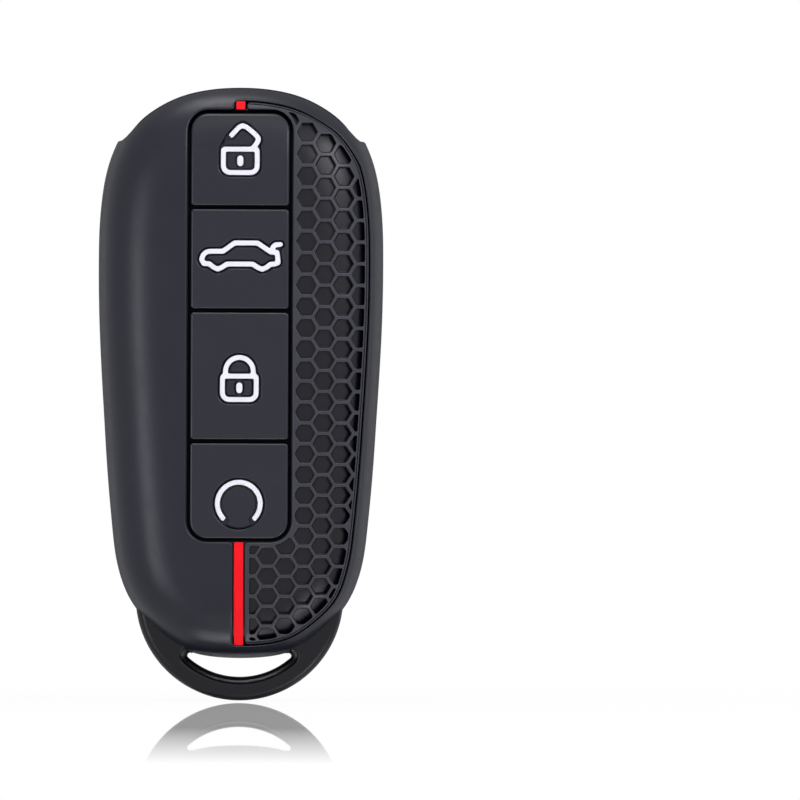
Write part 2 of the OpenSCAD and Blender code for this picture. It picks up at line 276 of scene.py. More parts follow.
def combine(loops, keep):
    """Outlines of the region where keep says yes, given which of the loops a point lies in."""
    points, triangles, _ = triangulate(loops)
    middles = points[triangles].mean(1)
    kept = triangles[keep(*[inside(middles, loop) for loop in loops])]
    sides = {(int(t[k]), int(t[(k + 1) % 3])) for t in kept for k in range(3)}
    following = {a: b for a, b in sides if (b, a) not in sides}
    found = []
    while following:
        start = min(following)
        chain, at = [], start
        while at in following:
            chain.append(at)
            at = following.pop(at)
        found.append(points[chain])
    return sorted(found, key=lambda loop: -abs(area(loop)))


def union(loops):
    return combine(loops, lambda *within: np.any(within, axis=0))


def shared(a, b):
    return combine([a, b], lambda *within: np.all(within, axis=0))


def arc(x, z, radius, low, high, steps=ARC_STEPS):
    turns = np.radians(np.linspace(low, high, steps + 1))
    return np.stack([x + radius * np.cos(turns), z + radius * np.sin(turns)], 1)


def soft_rect(half, low, high, low_r, high_r):
    return np.vstack([
        arc(half - high_r, high - high_r, high_r, 0, 90),
        arc(-half + high_r, high - high_r, high_r, 90, 180),
        arc(-half + low_r, low + low_r, low_r, 180, 270),
        arc(half - low_r, low + low_r, low_r, 270, 360),
    ])


def stroke(path, radius, closed=False, blunt=False):
    """The stretches of a stroke along a path, with round ends or, if blunt, a square start."""
    found = []
    for i, (a, b) in enumerate(zip(path, np.roll(path, -1, 0) if closed else path[1:])):
        turn = math.degrees(math.atan2(b[1] - a[1], b[0] - a[0]))
        end = arc(*b, radius, turn - 90, turn + 90)
        start = arc(*a, radius, turn + 90, turn + 270, 1 if blunt and i == 0 else ARC_STEPS)
        found.append(np.vstack([end, start]))
    return found


# The sleeve's rim and faces

def rim_curve():
    """The whole rim, from the base round the right side: an even curve through its points."""
    half = np.array(RIM_SHARES)
    loop = np.vstack([half, half[-2:0:-1] * [-1, 1]])
    before, after, beyond = (np.roll(loop, k, 0) for k in (1, -1, -2))
    parts = []
    for t in np.linspace(0, 1, RIM_FINE, endpoint=False):
        parts.append((
            2 * loop + (after - before) * t
            + (2 * before - 5 * loop + 4 * after - beyond) * t ** 2
            + (3 * loop - before - 3 * after + beyond) * t ** 3
        ) / 2)
    loop = np.stack(parts, 1).reshape(-1, 2) * [HALF_W, BODY_L] + [0, BASE_Z]
    loop = smooth(even(loop, RIM_COUNT), RIM_PASSES)
    loop[:, 0] *= HALF_W / loop[:, 0].max()
    low, high = loop[:, 1].min(), loop[:, 1].max()
    loop[:, 1] = BASE_Z + (loop[:, 1] - low) / (high - low) * BODY_L
    return even(loop, RIM_COUNT)


rim = rim_curve()
rim_out = normals(rim)
rim_reach = (rim * rim_out).sum(1)


def rim_depth(points):
    """How far inside the rim each point lies."""
    return (rim_reach - points @ rim_out.T).min(1)


def rim_at(inset, places):
    """Points on the rim drawn in by a distance, at shares of the way round from the base."""
    turns = np.arange(RIM_COUNT + 1) / RIM_COUNT
    at = np.mod(places, 1)
    return np.stack([
        np.interp(at, turns, axis) - inset * np.interp(at, turns, out)
        for axis, out in zip(with_start(rim).T, with_start(rim_out).T)
    ], 1)


def face_y(depth, under):
    """Height of the face at depths inside the rim, or of a skin that is a distance under it."""
    share = np.clip((depth - under) / (ROLL_RUN - under), 0, 1)
    return (HALF_T - under) * (1 - (1 - share) ** ROLL_POWER) ** (1 / ROLL_POWER)


def depth_of(y, under):
    """How far inside the rim the face, or a skin under it, reaches a height."""
    share = (y / (HALF_T - under)) ** ROLL_POWER
    return under + (ROLL_RUN - under) * (1 - (1 - share) ** (1 / ROLL_POWER))


SLOPE_STEP = 0.05


def at_height(flat, y):
    return np.insert(flat, 1, y, axis=1)


def lift(flat, under):
    """Points a distance under the face."""
    return at_height(flat, face_y(rim_depth(flat), under))


def face_normals(flat, under):
    """Which way the face looks at some points, from its heights close by."""
    slopes = []
    for aside in ([SLOPE_STEP, 0], [0, SLOPE_STEP]):
        ahead, behind = (face_y(rim_depth(flat + k * np.array(aside)), under) for k in (1, -1))
        slopes.append((ahead - behind) / (2 * SLOPE_STEP))
    found = np.stack([-slopes[0], np.ones(len(flat)), -slopes[1]], 1)
    return found / np.linalg.norm(found, axis=1)[:, None]


# Attributes: the face's true normals, and what lies deep in the honeycomb, which is coloured darker
# there as painted shade
LOOKS = "looks"
SHADE_MARK = "sunk"
# Bevels blend the first one, so it counts only where it is longer than this
LEAST_LOOK = 0.5
BEVEL_SEGMENTS = 4
# Spacing of the points that fill an area
FACE_SPACING = 1.3
RIDGE_SPACING = 0.8
MOAT_SPACING = 2
INNER_SPACING = 2.2
HIDDEN_SPACING = 3
# Shares of it: first row, rows at the rim, rows on the flat, distance from outlines
FIRST_ROW_SHARE = 1.4
RIM_ROW_SHARE = 0.6
FLAT_ROW_SHARE = 1.5
CLEAR_SHARE = 0.55


class Piece:
    """Points and faces of one closed piece, made face up towards +Y and then turned to its side."""

    def __init__(self):
        self.points = np.zeros((0, 3))
        self.faces = []
        self.bevels = set()
        self.looks = {}
        self.sunk = []

    def add(self, points):
        first = len(self.points)
        self.points = np.vstack([self.points, points])
        return list(range(first, len(self.points)))

    def ring(self, flat, under):
        return self.add(lift(flat, under))

    def bridge(self, a, b, closed=True):
        """Faces between two rings, or rows, of as many points."""
        count = len(a)
        for i in range(count if closed else count - 1):
            k = (i + 1) % count
            self.faces.append((a[i], a[k], b[k], b[i]))

    def profile(self, loop, steps, plain=None, share=None):
        """Rings round an outline, at steps that go over to the plain ones where share is below 1."""
        rings = []
        for (away, under), (plain_away, plain_under) in zip(steps, plain or steps):
            if plain:
                away = (plain_away + (away - plain_away) * share)[:, None]
                under = plain_under + (under - plain_under) * share
            rings.append(self.ring(offset(loop, away), under))
        for a, b in zip(rings, rings[1:]):
            self.bridge(a, b)
        return rings[0], rings[-1]

    def fill(self, rings, under, spacing=FACE_SPACING):
        """Covers the area between rings with triangles that follow the face."""
        loops = [self.points[ring][:, [0, 2]] for ring in rings]
        extra = grid_points(loops, spacing)
        ids = [i for ring in rings for i in ring] + self.ring(extra, under)
        points, triangles, sources = triangulate(loops, extra)
        kept = triangles[inside(points[triangles].mean(1), *loops)]
        crossed = [i for i in np.unique(kept) if not sources[i]]
        new = dict(zip(crossed, self.ring(points[crossed], under)))
        for t in kept:
            self.faces.append(tuple(new[i] if i in new else ids[sources[i][0]] for i in t))
        self.looks.update(zip(ids, face_normals(self.points[ids][:, [0, 2]], under)))

    def bevel_along(self, chain):
        self.bevels.update(frozenset(pair) for pair in zip(chain, chain[1:]))

    def build(self, name, front, material, node, slot, body="cover", bevel=0, sharp=35):
        """Makes the object, hangs it on the empty of what it rides on, and hides the node it replaces.
        """
        turned = [1, -1 if front else 1, 1]
        points = self.points * MM * turned
        mesh = bpy.data.meshes.new(name)
        mesh.from_pydata(points.tolist(), [], self.faces)
        looks = np.zeros((len(points), 3))
        for i, look in self.looks.items():
            looks[i] = look * turned
        mesh.attributes.new(LOOKS, "FLOAT_VECTOR", "POINT").data.foreach_set("vector", looks.ravel())
        # Marks the points that take the painted shade of the cell floors
        sunk = np.zeros(len(points))
        sunk[self.sunk] = 1
        mesh.attributes.new(SHADE_MARK, "FLOAT", "POINT").data.foreach_set("value", sunk)
        mesh.validate()
        piece = add_object(name, mesh)
        turn_outward(mesh)
        if bevel:
            marks = mesh.attributes.new("bevel_weight_edge", "FLOAT", "EDGE")
            chosen = [frozenset(edge.vertices) in self.bevels for edge in mesh.edges]
            marks.data.foreach_set("value", chosen)
            change = piece.modifiers.new("bevel", "BEVEL")
            change.width = bevel * MM
            change.segments = BEVEL_SEGMENTS
            change.limit_method = "WEIGHT"
            change.use_clamp_overlap = False
            apply_modifiers(piece)
        finish_mesh(piece, sharp)
        piece.data.materials.append(material)
        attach(piece, body)
        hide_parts(node)


def grid_points(loops, spacing):
    """Points between some outlines, on rings that follow the rim, clear of the outlines."""
    outline = np.vstack(loops)
    low, high = outline.min(0), outline.max(0)
    found = []
    inset = spacing * FIRST_ROW_SHARE
    while inset < HALF_W:
        if inset < ROLL_RUN:
            count = int((lengths(rim).sum() - 2 * math.pi * inset) / spacing)
            found.append(rim_at(inset, (np.arange(count) + len(found) % 2 / 2) / count))
        inset += spacing * (RIM_ROW_SHARE + (1 - RIM_ROW_SHARE) * min(1, inset / ROLL_RUN))
    xs, zs = (np.arange(low[k], high[k], spacing * FLAT_ROW_SHARE) for k in (0, 1))
    flat = np.stack(np.meshgrid(xs, zs), -1).reshape(-1, 2)
    found.append(flat[rim_depth(flat) > ROLL_RUN])
    points = np.vstack(found)
    points = points[(points > low).all(1) & (points < high).all(1)]
    points = points[inside(points, *loops)]
    least = spacing * CLEAR_SHARE
    clear = [np.linalg.norm(outline - p, axis=1).min() > least for p in points]
    return points[np.array(clear, bool)]


def apply_modifiers(piece):
    graph = bpy.context.evaluated_depsgraph_get()
    changed = bpy.data.meshes.new_from_object(piece.evaluated_get(graph))
    old = piece.data
    piece.modifiers.clear()
    piece.data = changed
    bpy.data.meshes.remove(old)


def turn_outward(mesh):
    work = bmesh.new()
    work.from_mesh(mesh)
    bmesh.ops.recalc_face_normals(work, faces=work.faces)
    work.to_mesh(mesh)
    work.free()


def finish_mesh(piece, sharp):
    """Shades the faces smooth, with crisp corners."""
    piece.data.polygons.foreach_set("use_smooth", [True] * len(piece.data.polygons))
    piece.data.set_sharp_from_angle(angle=math.radians(sharp))
    change = piece.modifiers.new("normals", "WEIGHTED_NORMAL")
    change.keep_sharp = True
    change.mode = "FACE_AREA"
    apply_modifiers(piece)
    set_looks(piece.data)


def read_all(items, kind, width=1):
    """One property of all items: whole numbers or, where wider, vectors."""
    found = np.zeros(len(items) * width, float if width > 1 else int)
    items.foreach_get(kind, found)
    return found.reshape(-1, width) if width > 1 else found


def set_looks(mesh):
    """Gives the points that lie on the face its true normals."""
    looks = read_all(mesh.attributes[LOOKS].data, "vector", 3)
    corners = read_all(mesh.corner_normals, "vector", 3)
    flat = read_all(mesh.polygons, "normal", 3)
    sizes = read_all(mesh.polygons, "loop_total")
    at = read_all(mesh.loops, "vertex_index")
    wanted = looks[at]
    wanted *= np.sign((wanted * np.repeat(flat, sizes, 0)).sum(1))[:, None]
    known = np.linalg.norm(looks[at], axis=1) > LEAST_LOOK
    corners[known] = wanted[known]
    mesh.normals_split_custom_set(corners.tolist())
    mesh.attributes.remove(mesh.attributes[LOOKS])


# Outlines on the faces

OVERLAP = 1


def panel_margin(z):
    """The panel's distance from the rim: more near the mouth, less at the lower corner."""
    share = np.clip(((z - BASE_Z) / BODY_L - MARGIN_START_SHARE) / MARGIN_RUN_SHARE, 0, 1)
    bulge = CORNER_BULGE * np.exp(-((z - CORNER_Z) / CORNER_RUN) ** 2)
    return PANEL_MARGIN + (PANEL_MARGIN_TOP - PANEL_MARGIN) * share - bulge


def panel_edge(extra):
    return rim - (panel_margin(rim[:, 1]) + extra)[:, None] * rim_out


def box_loop(left, right, low, high):
    return np.array([[left, low], [right, low], [right, high], [left, high]], float)


def window_loop(extra=0):
    radius = PAD_CORNER + PAD_GAP + extra
    half = PAD_HALF + PAD_GAP + extra
    return soft_rect(half, WINDOW_BASE - extra, WINDOW_TOP + extra, radius, radius)


def panel_loop(extra, has_window, window_extra=0):
    """The grip panel's outline, drawn in by extra, and by another distance along the window."""
    right = box_loop(PANEL_X + extra, HALF_W, 0, CROWN_Z)
    loops = [panel_edge(extra), right, window_loop(window_extra)]
    return combine(loops, lambda edge, side, window: edge & side & ~(window & has_window))[0]


def hollow_loop(has_window):
    """Everything that is sunk into a face: the grip panel, the line and the window."""
    strip = box_loop(-PANEL_X, PANEL_X + OVERLAP, 0, CROWN_Z)
    right = box_loop(PANEL_X, HALF_W, 0, CROWN_Z)
    loops = [panel_edge(0), strip, right, window_loop()]
    return combine(
        loops, lambda edge, line, side, window: (edge & (line | side)) | (window & has_window)
    )[0]


# Shells

# Points from foot to mouth and from mouth to crown, levels from seam to mouth
LOW_STEPS = 120
HIGH_STEPS = 26
ROUND_STEPS = 11
PLACE_STEPS = 800
# Rings between side and face: the first one's step, the last one's inset and how that grows inside
SKIN_STEP = 0.03
SKIN_INSET = 1.3
SKIN_GROWTH_SHARE = 1.4
# Parting line between the shells
SEAM_INSET = 0.05
SEAM_Y = 0.06
LIP_BEVEL = 0.3
HOLLOW_ROUND = 0.8
BED_CLEAR = 0.02
# Opening behind the pads
OPENING_CLEAR = 0.1
WINDOW_COUNT = 260
# Steps of an edge, here and below: distance out from its outline, depth under the face
EDGE_STEPS = [
    (0.4, 0), (0.3, 0.01), (0.2, 0.04), (0.11, 0.085), (0.05, 0.13), (0.01, 0.19), (0, 0.26),
]
LIP_STEPS = [
    (0.46, 0), (0.37, -0.012), (0.27, -0.045), (0.17, -0.05), (0.08, -0.01), (0.02, 0.06), (0, 0.2),
]


def mouth_floor(y):
    """Height of the mouth's bottom, which has round corners."""
    past = np.clip(y - (MOUTH_HALF - MOUTH_ROUND), 0, MOUTH_ROUND)
    return CROWN_Z - MOUTH_DROP + MOUTH_ROUND - math.sqrt(MOUTH_ROUND ** 2 - past ** 2)


def cut_place(inset, y):
    """Share of the way round at which a ring meets the mouth."""
    places = np.linspace(0, 0.5, PLACE_STEPS)
    return float(np.interp(mouth_floor(y), rim_at(inset, places)[:, 1], places))


def shell(has_window):
    """One side of the sleeve: outer and inner skin, joined along the seam, the mouth and the bed."""
    piece = Piece()
    shares = np.linspace(0, 1, ROUND_STEPS)
    levels = [0, SEAM_Y, *(SEAM_Y + (MOUTH_HALF - SEAM_Y) * shares[1:])]
    skins = []
    for under in (0, WALL):
        rows = []
        for y in levels:
            inset = depth_of(y, under) + (SEAM_INSET if y == 0 and under == 0 else 0)
            cut = cut_place(inset, y)
            places = np.linspace(-cut, cut, 2 * LOW_STEPS + 1)
            rows.append(piece.add(at_height(rim_at(inset, places), y)))
        for a, b in zip(rows, rows[1:]):
            piece.bridge(a, b, closed=False)
        upper_places = np.linspace(cut, 1 - cut, 2 * HIGH_STEPS + 1)[1:-1]
        upper = piece.add(at_height(rim_at(inset, upper_places), MOUTH_HALF))
        ring = rows[-1] + upper
        places = np.concatenate([places, upper_places])
        first_inset = depth_of(MOUTH_HALF, under) + SKIN_STEP
        for inset in (first_inset, SKIN_INSET + under * SKIN_GROWTH_SHARE):
            closer = piece.ring(rim_at(inset, places), under)
            piece.bridge(ring, closer)
            ring = closer
        skins.append((rows, upper, ring))

    (outer_rows, _, outer_ring), (inner_rows, _, inner_ring) = skins
    piece.bridge(outer_rows[0], inner_rows[0], closed=False)
    for end in (0, -1):
        piece.bridge([row[end] for row in outer_rows], [row[end] for row in inner_rows], closed=False)
    piece.bridge(*(rows[-1][-1:] + upper + rows[-1][:1] for rows, upper, _ in skins), closed=False)
    for rows, upper, _ in skins:
        piece.bevel_along([row[-1] for row in rows] + upper + [row[0] for row in rows[::-1]])

    hollow = soften(hollow_loop(has_window), HOLLOW_ROUND, LONGEST_BENT)
    floor = PANEL_DEPTH + BED_CLEAR
    steps, plain = LIP_STEPS + [(0, floor)], EDGE_STEPS + [(0, floor)]
    top_ring, floor_ring = piece.profile(hollow, steps, plain, rim_share(hollow))
    piece.fill([outer_ring, top_ring], 0)
    through = []
    if has_window:
        opening = even(window_loop(-OPENING_CLEAR), WINDOW_COUNT)
        through = piece.profile(opening, [(0, floor), (0, WALL)])
    piece.fill([floor_ring, *through[:1]], floor, HIDDEN_SPACING)
    piece.fill([inner_ring, *through[1:]], WALL, INNER_SPACING)
    return piece


# Grip panels

# Honeycomb: columns from the line outwards, rows from the crown down, which tighten slowly
COLUMNS = 8
COLUMN_PITCH = 3.03
FIRST_COLUMN_SHARE = 0.6
PINCH_SHARE = 0.05
ROWS = range(-5, 29)
ROWS_DROP = 10.3
ROW_PITCH = 3.62
ROW_TIGHTEN = 0.017
RIDGE = 0.62
CELL_DEPTH = 0.85
# Plain border along rim and window; rounds of field, panel, whole and cut cells
PANEL_BORDER = 0.81
WINDOW_BORDER = 0.58
FIELD_ROUND = 0.5
PANEL_ROUND = 0.9
CELL_ROUND = 0.16
CUT_ROUND = 0.32
HEXAGON = [[1, 0], [0.5, 1], [-0.5, 1], [-1, 0], [-0.5, -1], [0.5, -1]]
# Least area of a cut cell, and how far outside the panel its middle may lie
LEAST_CELL = 0.35
SLIVER_REACH = 0.7
# How far walls of small and of cut cells lean, and how many rings keep the ridge's colour before the
# cell's painted shade begins
SMALL_SHARE = 3
CUT_SHARE = 0.35
PALE_RINGS = 3
# A spacing so wide that no point falls inside a cell
NO_POINTS = 9
# Bead along the rim, which fades into a plain edge elsewhere
BEAD_CLEAR = 0.05
BEAD_FADE = 0.8
PANEL_BASE = 1.22
BEAD_STEPS = [
    (-0.62, PANEL_SINK), (-0.59, 0.126), (-0.56, 0.15), (-0.53, 0.23), (-0.49, 0.19),
    (-0.44, 0.09), (-0.39, 0.035), (-0.33, 0.03), (-0.27, 0.09), (-0.22, 0.22),
    (-0.21, PANEL_BASE),
]
PLAIN_STEPS = [(away, PANEL_SINK) for away in (-0.34, -0.32, -0.3, -0.28, -0.26)] + [
    (-0.23, 0.124), (-0.19, 0.14), (-0.13, 0.175), (-0.08, 0.21), (-0.05, 0.28),
    (-0.05, PANEL_BASE),
]
CELL_STEPS = [
    (0.17, PANEL_SINK), (0.13, 0.126), (0.07, 0.15), (0.02, 0.2), (0, 0.27), (-0.03, 0.7),
    (-0.07, 0.8), (-0.15, CELL_DEPTH),
]


def rim_share(outline):
    """One where an outline runs along the rim, none where it is well inside."""
    inner = rim_depth(outline) - panel_margin(outline[:, 1]) - BEAD_CLEAR
    return 1 - np.clip(inner / BEAD_FADE, 0, 1)


def row_z(k):
    return CROWN_Z - ROWS_DROP - ROW_PITCH * k + ROW_TIGHTEN / 2 * k ** 2


def cells(has_window):
    """Outlines of the cells, each with whether the panel's border cuts it."""
    border = panel_loop(PANEL_BORDER, has_window, WINDOW_BORDER)
    field = soften(border, FIELD_ROUND, LONGEST_BENT)
    found = []
    for column in range(COLUMNS):
        for row in ROWS:
            step = row + (0.5 if column % 2 == 0 else 0)
            high, low = row_z(step), row_z(step + 1)
            z = (high + low) / 2
            drawn_in = 1 - PINCH_SHARE * ((CROWN_Z - z) / BODY_L) ** 2
            x = (FIRST_COLUMN_SHARE + column) * COLUMN_PITCH * drawn_in
            if rim_depth(np.array([[x, z]]))[0] - panel_margin(z) < -SLIVER_REACH:
                continue
            along = COLUMN_PITCH * 2 / 3 - RIDGE / 2 / math.cos(math.radians(30))
            across = (high - low - RIDGE) / 2
            cell = np.array(HEXAGON) * [along, across] + [x, z]
            if inside(cell, field).all():
                found.append((soften(cell, CELL_ROUND), False))
                continue
            parts = shared(field, cell)
            if parts and abs(area(parts[0])) >= LEAST_CELL:
                found.append((soften(parts[0], CUT_ROUND), True))
    return found


def grip_panel(has_window):
    piece = Piece()
    outline = soften(panel_loop(0, has_window), PANEL_ROUND, LONGEST_BENT)
    top_ring, base_ring = piece.profile(outline, BEAD_STEPS, PLAIN_STEPS, rim_share(outline))
    rings = [top_ring]
    for cell, cut in cells(has_window):
        lean = min(1, SMALL_SHARE * area(cell) / lengths(cell).sum())
        if cut:
            lean *= CUT_SHARE
        steps = [(away * lean if away < 0 else away, under) for away, under in CELL_STEPS]
        first = len(piece.points)
        cell_top, cell_floor = piece.profile(cell, steps)
        rings.append(cell_top)
        # The cell's lower walls and floor are marked for the grip's painted shade
        piece.sunk += range(first + PALE_RINGS * len(cell_top), len(piece.points))
        piece.fill([cell_floor], CELL_DEPTH, NO_POINTS)
    piece.fill(rings, PANEL_SINK, RIDGE_SPACING)
    piece.fill([base_ring], PANEL_BASE, HIDDEN_SPACING)
    return piece


# Lines, pads and symbols

LINE_ROUND = 0.3
PAD_COUNT = 400
STROKE = 0.79
# Moat round a symbol, with islands of the pad in it
MOAT_DEPTH = 0.95
RECESS_GAP = 0.36
REACH = STROKE / 2 + RECESS_GAP
LEAST_ISLAND = 0.3
# Rounds of the recess, before and after it is drawn in, and of what stands in it
SUNK_ROUND = 0.24
RECESS_ROUND = 0.45
ISLAND_ROUND = 0.5
SYMBOL_ROUND = 0.34
KEYHOLE_ROUND = 0.3
LINE_STEPS = [(-0.16, 0.08), (-0.09, 0.09), (-0.03, 0.13), (0, 0.2), (0, 0.6)]
PAD_STEPS = [
    (-0.4, 0), (-0.3, 0.012), (-0.2, 0.045), (-0.11, 0.1), (-0.04, 0.18), (0, 0.3), (0, PAD_T),
]
RECESS_STEPS = [
    (0.2, 0), (0.15, 0.01), (0.07, 0.05), (0.02, 0.11), (0, 0.18), (-0.02, 0.28), (-0.27, MOAT_DEPTH),
]
ISLAND_STEPS = [(-0.08, 0.08), (-0.06, 0.088), (-0.02, 0.12), (0, 0.18), (0.02, 0.28)]
# How far the islands spread down to the moat's floor
ISLAND_SLANTS = {"unlock": 0.06, "trunk": 0.27, "lock": 0.27, "start": 0.06}
SYMBOL_STEPS = [
    (-0.11, 0.04), (-0.06, 0.05), (-0.02, 0.08), (0, 0.14), (0, 0.2), (-0.26, 0.26),
    (-0.26, MOAT_DEPTH),
]


def flipped(steps):
    """The same edge for the inside of a hole."""
    return [(-away, under) for away, under in steps]


def plate(outlines, steps):
    """A plate with a face, an edge and a back; after the first outline come its holes."""
    piece = Piece()
    tops, bases = [], []
    for i, loop in enumerate(outlines):
        top, base = piece.profile(loop, steps if i == 0 else flipped(steps))
        tops.append(top)
        bases.append(base)
    piece.fill(tops, steps[0][1])
    piece.fill(bases, steps[-1][1], HIDDEN_SPACING)
    return piece


def line(low, high):
    loop = shared(panel_edge(0), box_loop(-LINE_SIDE, LINE_SIDE, low, high))[0]
    return plate([soften(loop, LINE_ROUND)], LINE_STEPS)


def pad_outline(name):
    low_r = PAD_CORNER if name == "start" else PAD_NOTCH
    high_r = PAD_CORNER if name == "unlock" else PAD_NOTCH
    return even(soft_rect(PAD_HALF, pad_low[name], pad_high[name], low_r, high_r), PAD_COUNT)


# Padlocks, centred on their body's foot; shares are of its width
PADLOCK_W = 6.3
PADLOCK_H = 4.6
PADLOCK_CORNER_SHARE = 0.17
KEYHOLE_HALF_SHARE = 0.08
KEYHOLE_REACH_SHARE = 0.14
KEYHOLE_ROUND_SHARE = 0.98
SHACKLE_Z = PADLOCK_H - STROKE / 2
SHACKLE_R = 0.36 * PADLOCK_W
SHACKLE_COUNT = 20
# Car; ring, with half its opening in degrees
CAR_L = 12.5
CAR_H = 4.3
RING_R = 3.5
RING_GAP = 42
RING_COUNT = 60
RECESS_COUNT = 90
# Height of each symbol's foot, or the ring's middle, as a share of its pad's height
SYMBOL_SHARES = {"unlock": 0.33, "trunk": 0.395, "lock": 0.295, "start": 0.365}
# The car and its open lid, in shares of the car's length and height
CAR_SHARES = [
    [0, 0.37], [0.02, 0.54], [0.055, 0.64], [0.1, 0.68], [0.28, 0.68], [0.43, 1], [0.73, 1],
    [0.9, 0.66], [0.985, 0.65], [1, 0.26], [0.955, 0.2], [0.9, 0.2], [0.85, 0.075], [0.79, 0],
    [0.73, 0.075], [0.67, 0.2], [0.33, 0.2], [0.27, 0.075], [0.21, 0], [0.15, 0.09],
    [0.1, 0.21], [0.03, 0.21],
]
LID_SHARES = [[0.92, 0.72], [0.93, 0.85], [0.965, 0.94], [1.03, 0.95]]
# The open shackle, in shares of the padlock's width, from its free end to the body
SHACKLE_SHARES = [
    [-0.264, 0.323], [-0.04, 0.568], [0.064, 0.612], [0.17, 0.565], [0.4, 0.37],
    [0.462, 0.29], [0.462, 0.22], [0.423, 0.15], [0.3, 0],
]


def keyhole(more=0):
    """The keyhole's outline, or one that is so much wider all round."""
    half = KEYHOLE_HALF_SHARE * PADLOCK_W + more
    reach = KEYHOLE_REACH_SHARE * PADLOCK_W + more
    middle = PADLOCK_H / 2
    radius = half * KEYHOLE_ROUND_SHARE
    return soft_rect(half, middle - reach, middle + reach, radius, radius)


corner = PADLOCK_CORNER_SHARE * PADLOCK_W
padlock = soft_rect((PADLOCK_W - STROKE) / 2, STROKE / 2, SHACKLE_Z, corner, corner / 4)
bow = arc(0, SHACKLE_Z + STROKE, SHACKLE_R, 0, 180, SHACKLE_COUNT)
closed_shackle = np.vstack([[[SHACKLE_R, SHACKLE_Z]], bow, [[-SHACKLE_R, SHACKLE_Z]]])
open_shackle = np.array(SHACKLE_SHARES) * PADLOCK_W + [0, SHACKLE_Z]
car, lid = (np.array(part) * [CAR_L, CAR_H] - [CAR_L / 2, 0] for part in (CAR_SHARES, LID_SHARES))


def symbol_loops(name):
    """Outlines of a symbol, its outer one first; of the recess; and of the moat's stretches in it."""
    half = STROKE / 2
    around = stroke(padlock, REACH, True)
    if name == "unlock":
        shape = stroke(padlock, half, True) + stroke(open_shackle, half, blunt=True)
        side = np.vstack([[[(STROKE - PADLOCK_W) / 2, SHACKLE_Z]], open_shackle])
        sunk = around + stroke(side, REACH, True) + [padlock, side]
        moat = around + stroke(open_shackle, REACH) + [keyhole(RECESS_GAP)]
    elif name == "lock":
        shape = stroke(padlock, half, True) + stroke(closed_shackle, half)
        moat = around + stroke(closed_shackle, REACH) + [keyhole(RECESS_GAP)]
        sunk = moat + [padlock, closed_shackle]
    elif name == "trunk":
        shape = stroke(car, half, True) + stroke(lid, half)
        moat = stroke(car, REACH, True) + stroke(lid, REACH)
        sunk = moat + [car]
    else:
        low, high = -90 + RING_GAP, 270 - RING_GAP
        outer = arc(0, 0, RING_R + half, low, high, RING_COUNT)
        inner = arc(0, 0, RING_R - half, high, low, RING_COUNT)
        moat = stroke(arc(0, 0, RING_R, low, high, RING_COUNT), REACH)
        return [np.vstack([outer, inner])], arc(0, 0, RING_R + REACH, 0, 360, RECESS_COUNT)[:-1], moat
    return union(shape), union(sunk)[0], moat


def island_loops(sunk, moat):
    """Outlines of what stands in the recess beside the symbol."""
    loops = [offset(soften(sunk, SUNK_ROUND), -RECESS_GAP)] + moat
    found = combine(loops, lambda within, *cut: within & ~np.any(cut, axis=0))
    return [loop for loop in found if abs(area(loop)) > LEAST_ISLAND]


def placed(name, loop, size):
    """One of a symbol's outlines at its place on the pad, rounded, and anticlockwise."""
    low, high = pad_low[name], pad_high[name]
    rounded = soften(loop, size)
    if area(rounded) < 0:
        rounded = rounded[::-1]
    return rounded + [0, low + SYMBOL_SHARES[name] * (high - low)]


def button(name):
    """The pad with its recess."""
    _, sunk, moat = symbol_loops(name)
    piece = Piece()
    pad_top, pad_base = piece.profile(pad_outline(name), PAD_STEPS)
    recess_top, recess_floor = piece.profile(placed(name, sunk, RECESS_ROUND), RECESS_STEPS)
    piece.fill([pad_top, recess_top], 0)
    tops, bases = [], [recess_floor]
    for loop in island_loops(sunk, moat):
        steps = ISLAND_STEPS + [(ISLAND_SLANTS[name], MOAT_DEPTH)]
        outline = placed(name, loop, ISLAND_ROUND)
        top, base = piece.profile(outline, steps if area(loop) > 0 else flipped(steps))
        tops.append(top)
        bases.append(base)
    if tops:
        piece.fill(tops, ISLAND_STEPS[0][1])
    piece.fill(bases, MOAT_DEPTH, MOAT_SPACING)
    piece.fill([pad_base], PAD_T, HIDDEN_SPACING)
    return piece


def symbol(name):
    shape = [loop for loop in symbol_loops(name)[0] if abs(area(loop)) > LEAST_ISLAND]
    return plate([placed(name, loop, SYMBOL_ROUND) for loop in shape], SYMBOL_STEPS)


# Web's thickness, its gap to the window's edge and to the pads
WEB_T = 0.5
WEB_INSET = 0.12
WEB_CLEAR = 0.1


def web():
    """Web at the bottom of the gap around the pads."""
    pads = [offset(pad_outline(name), WEB_CLEAR) for name in PADS]
    outer = even(window_loop(-WEB_INSET), WINDOW_COUNT)
    piece = Piece()
    steps = [(0, WALL - WEB_T), (0, WALL)]
    rings = [piece.profile(loop, steps) for loop in [outer] + pads]
    for level, (_, under) in enumerate(steps):
        piece.fill([ring[level] for ring in rings], under, HIDDEN_SPACING)
    return piece


# Lanyard loop

LOOP_BAND = 3.85
SLOT_R = 12.7
SLOT_MIDDLE = [0, LOOP_BAND + SLOT_R]
LOOP_ROUND = 1.4
ROUND_COUNT = 7
LOOP_STEPS = 75
SLOT_ARC_STEPS = 50
# How far it runs into the sleeve, and how far round its outer side is traced
LOOP_SINK = 0.4
OUTER_TURN = 125
OUTER_STEPS = 1250
# Share of the half thickness up to which the sleeve's side is followed
LEVEL_SHARE = 0.99
# Section from the slot's edge outward: distance from it, height above the middle plane
SLOT_STEPS = [
    (0, 0), (0, 0.35), (0.05, 0.6), (0.16, 0.82), (0.3, 0.95), (0.4, 1.0), (0.47, 1.06),
    (0.52, 1.3), (0.62, 1.8), (0.8, 2.4), (0.97, 2.8), (1.08, 2.98), (1.2, 3.1), (1.34, 3.17),
    (1.5, 3.2),
]
